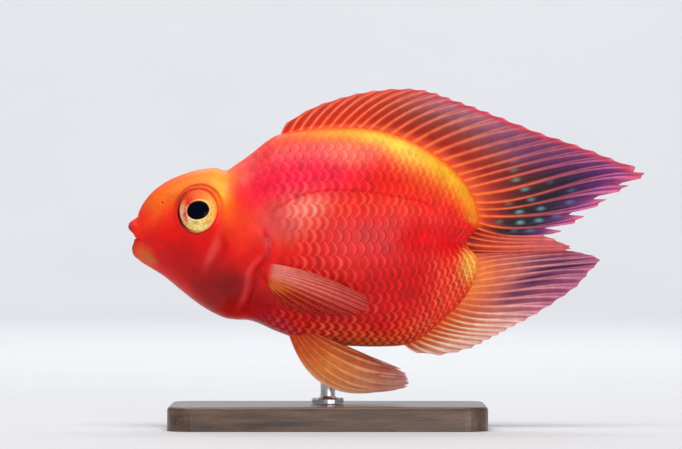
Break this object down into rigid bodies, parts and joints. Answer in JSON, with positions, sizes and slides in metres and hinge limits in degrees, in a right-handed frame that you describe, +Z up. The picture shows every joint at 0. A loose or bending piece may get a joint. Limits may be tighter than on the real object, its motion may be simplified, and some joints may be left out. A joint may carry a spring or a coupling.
{
  "type": "blood parrot cichlid, tailless form",
  "caption": "Life-size still model of a tailless blood parrot cichlid, held over a flat base by one short rod for display.",
  "frame": {"origin": "middle of the stand base's underside, below the rod", "axes": "+X from the fish's head towards its tail, -Y towards its left side, +Z up"},
  "size_m": [0.1761, 0.06, 0.1156],
  "materials": {
    "skin": "wet red-orange fish skin with small scales",
    "fin": "thin translucent orange-pink fin membrane with rays",
    "eye": "glossy eye with a gold iris and black pupil",
    "stand_wood": "satin dark walnut",
    "stand_steel": "brushed"
  },
  "bodies": {
    "root": {"head": "skin", "torso": "skin", "tail": "skin", "eye_left": "eye", "eye_right": "eye", "dorsal_fin": "fin", "anal_fin": "fin", "tail_fin_stub": "fin", "pectoral_fin_left": "fin", "pectoral_fin_right": "fin", "pelvic_fin_left": "fin", "pelvic_fin_right": "fin", "stand_base": "stand_wood", "stand_rod": "stand_steel"}
  },
  "joints": []
}
